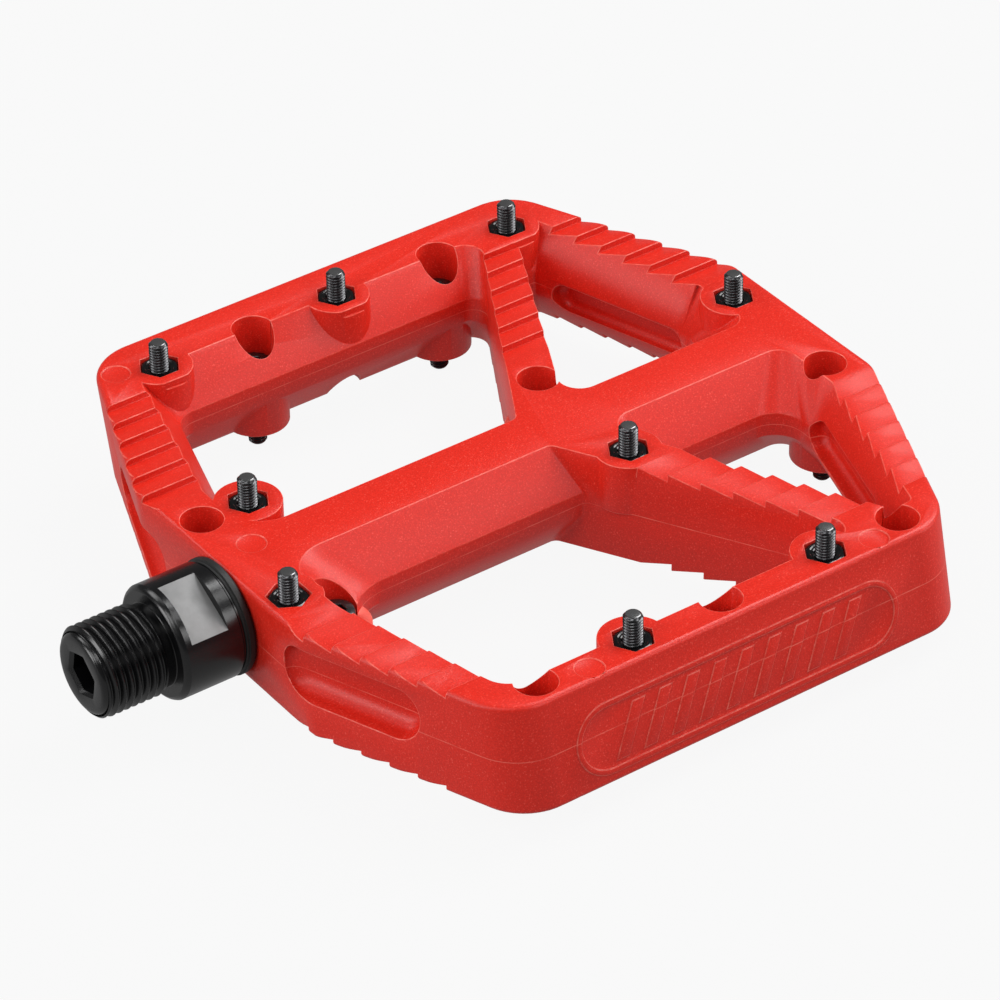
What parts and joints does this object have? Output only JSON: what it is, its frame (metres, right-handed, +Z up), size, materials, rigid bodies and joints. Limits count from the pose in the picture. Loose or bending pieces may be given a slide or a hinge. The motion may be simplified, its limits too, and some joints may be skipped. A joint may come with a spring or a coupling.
{
  "type": "flat pedal",
  "caption": "Flat bicycle pedal: open moulded cage with threaded traction pins on both faces, turning on a crank spindle through a plain bush and cartridge bearings.",
  "frame": {"origin": "centre of the spindle's shoulder face, where the crank arm seats", "axes": "+X along the spindle, away from the crank; +Z up through the upper face; +Y towards one rail"},
  "size_m": [0.1322, 0.1136, 0.0254],
  "materials": {
    "red_nylon": "fine moulded grain",
    "black_steel": "gloss black plated",
    "dark_fastener": "black oxide, slightly oily",
    "rubber_seal": "matte",
    "bearing_steel": "ground",
    "plain_polymer": "smooth",
    "zinc_steel": "zinc plated",
    "black_plastic": "fine grain"
  },
  "bodies": {
    "spindle": {"spindle": "black_steel", "dust_seal": "rubber_seal", "lock_washer": "zinc_steel", "lock_nut": "zinc_steel", "lock_nut_ring": "plain_polymer", "inboard_bearing_inner_ring": "bearing_steel", "outboard_bearing_inner_ring": "bearing_steel"},
    "platform": {"pedal_body": "red_nylon", "plain_bush": "plain_polymer", "upper_pin_screws": "dark_fastener", "upper_pin_nuts": "dark_fastener", "lower_pin_screws": "dark_fastener", "lower_pin_nuts": "dark_fastener", "end_cap": "black_plastic", "end_cap_ring": "rubber_seal", "inboard_bearing_outer_ring": "bearing_steel", "inboard_bearing_shields": "black_plastic", "outboard_bearing_outer_ring": "bearing_steel", "outboard_bearing_shields": "black_plastic"},
    "inboard_ball_set": {"inboard_bearing_balls": "bearing_steel", "inboard_bearing_ball_cage": "bearing_steel"},
    "outboard_ball_set": {"outboard_bearing_balls": "bearing_steel", "outboard_bearing_ball_cage": "bearing_steel"}
  },
  "joints": [
    {"name": "platform_spin", "type": "hinge", "parent": "spindle", "child": "platform", "pos_m": [0.06, 0, 0], "axis": [1, 0, 0], "continuous": true},
    {"name": "inboard_ball_orbit", "type": "hinge", "parent": "spindle", "child": "inboard_ball_set", "pos_m": [0.1, 0, 0], "axis": [1, 0, 0], "continuous": true},
    {"name": "outboard_ball_orbit", "type": "hinge", "parent": "spindle", "child": "outboard_ball_set", "pos_m": [0.105, 0, 0], "axis": [1, 0, 0], "continuous": true}
  ],
  "couplings": [
    {"joint": "inboard_ball_orbit", "follows": "platform_spin", "ratio": 0.6053},
    {"joint": "outboard_ball_orbit", "follows": "platform_spin", "ratio": 0.6053}
  ]
}
